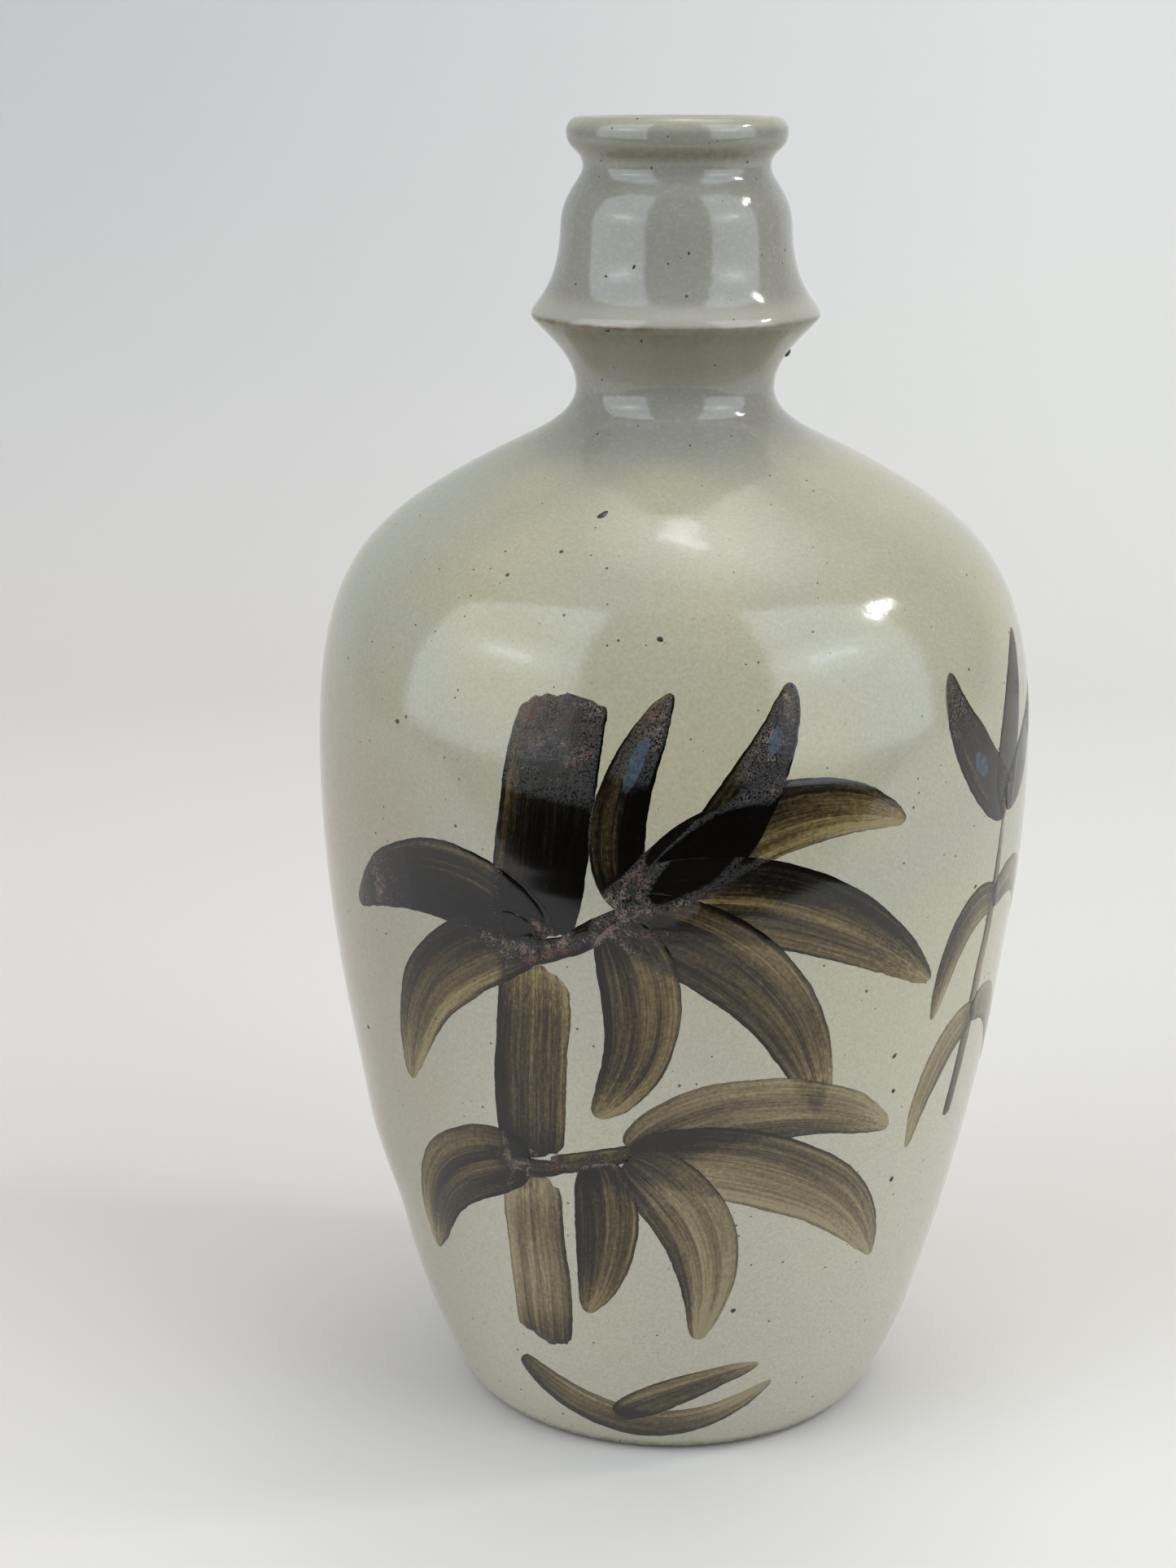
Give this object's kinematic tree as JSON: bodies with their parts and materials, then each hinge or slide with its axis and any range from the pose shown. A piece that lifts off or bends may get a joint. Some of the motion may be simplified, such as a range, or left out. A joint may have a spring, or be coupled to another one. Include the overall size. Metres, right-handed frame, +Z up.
{
  "type": "sake bottle",
  "caption": "Round-shouldered stoneware sake bottle with a collared neck, rolled lip, grey clear glaze and brushed iron-brown bamboo.",
  "frame": {"origin": "centre of the foot, on the surface that the bottle stands on", "axes": "+Z up along the bottle's axis through the mouth, painted front towards -Y, side spray towards +X"},
  "size_m": [0.1098, 0.1099, 0.2],
  "materials": {
    "stoneware": "bare fired stoneware, matte, fine grey-buff grain with iron specks",
    "outer_glaze": "glossy clear grey-beige glaze with fine specks, bluer on the neck, brown where it breaks over the collar",
    "inner_glaze": "glossy thin liner glaze",
    "iron_brushwork": "brushed iron oxide, black to olive tan, glossy with bristle streaks and matte rusty overlaps"
  },
  "bodies": {
    "root": {"stoneware_body": "stoneware", "stoneware_shoulder": "stoneware", "stoneware_neck": "stoneware", "outer_glaze": "outer_glaze", "inner_glaze": "inner_glaze", "painted_culm": "iron_brushwork", "painted_leaves": "iron_brushwork", "painted_ground": "iron_brushwork", "painted_side_spray": "iron_brushwork"}
  },
  "joints": []
}
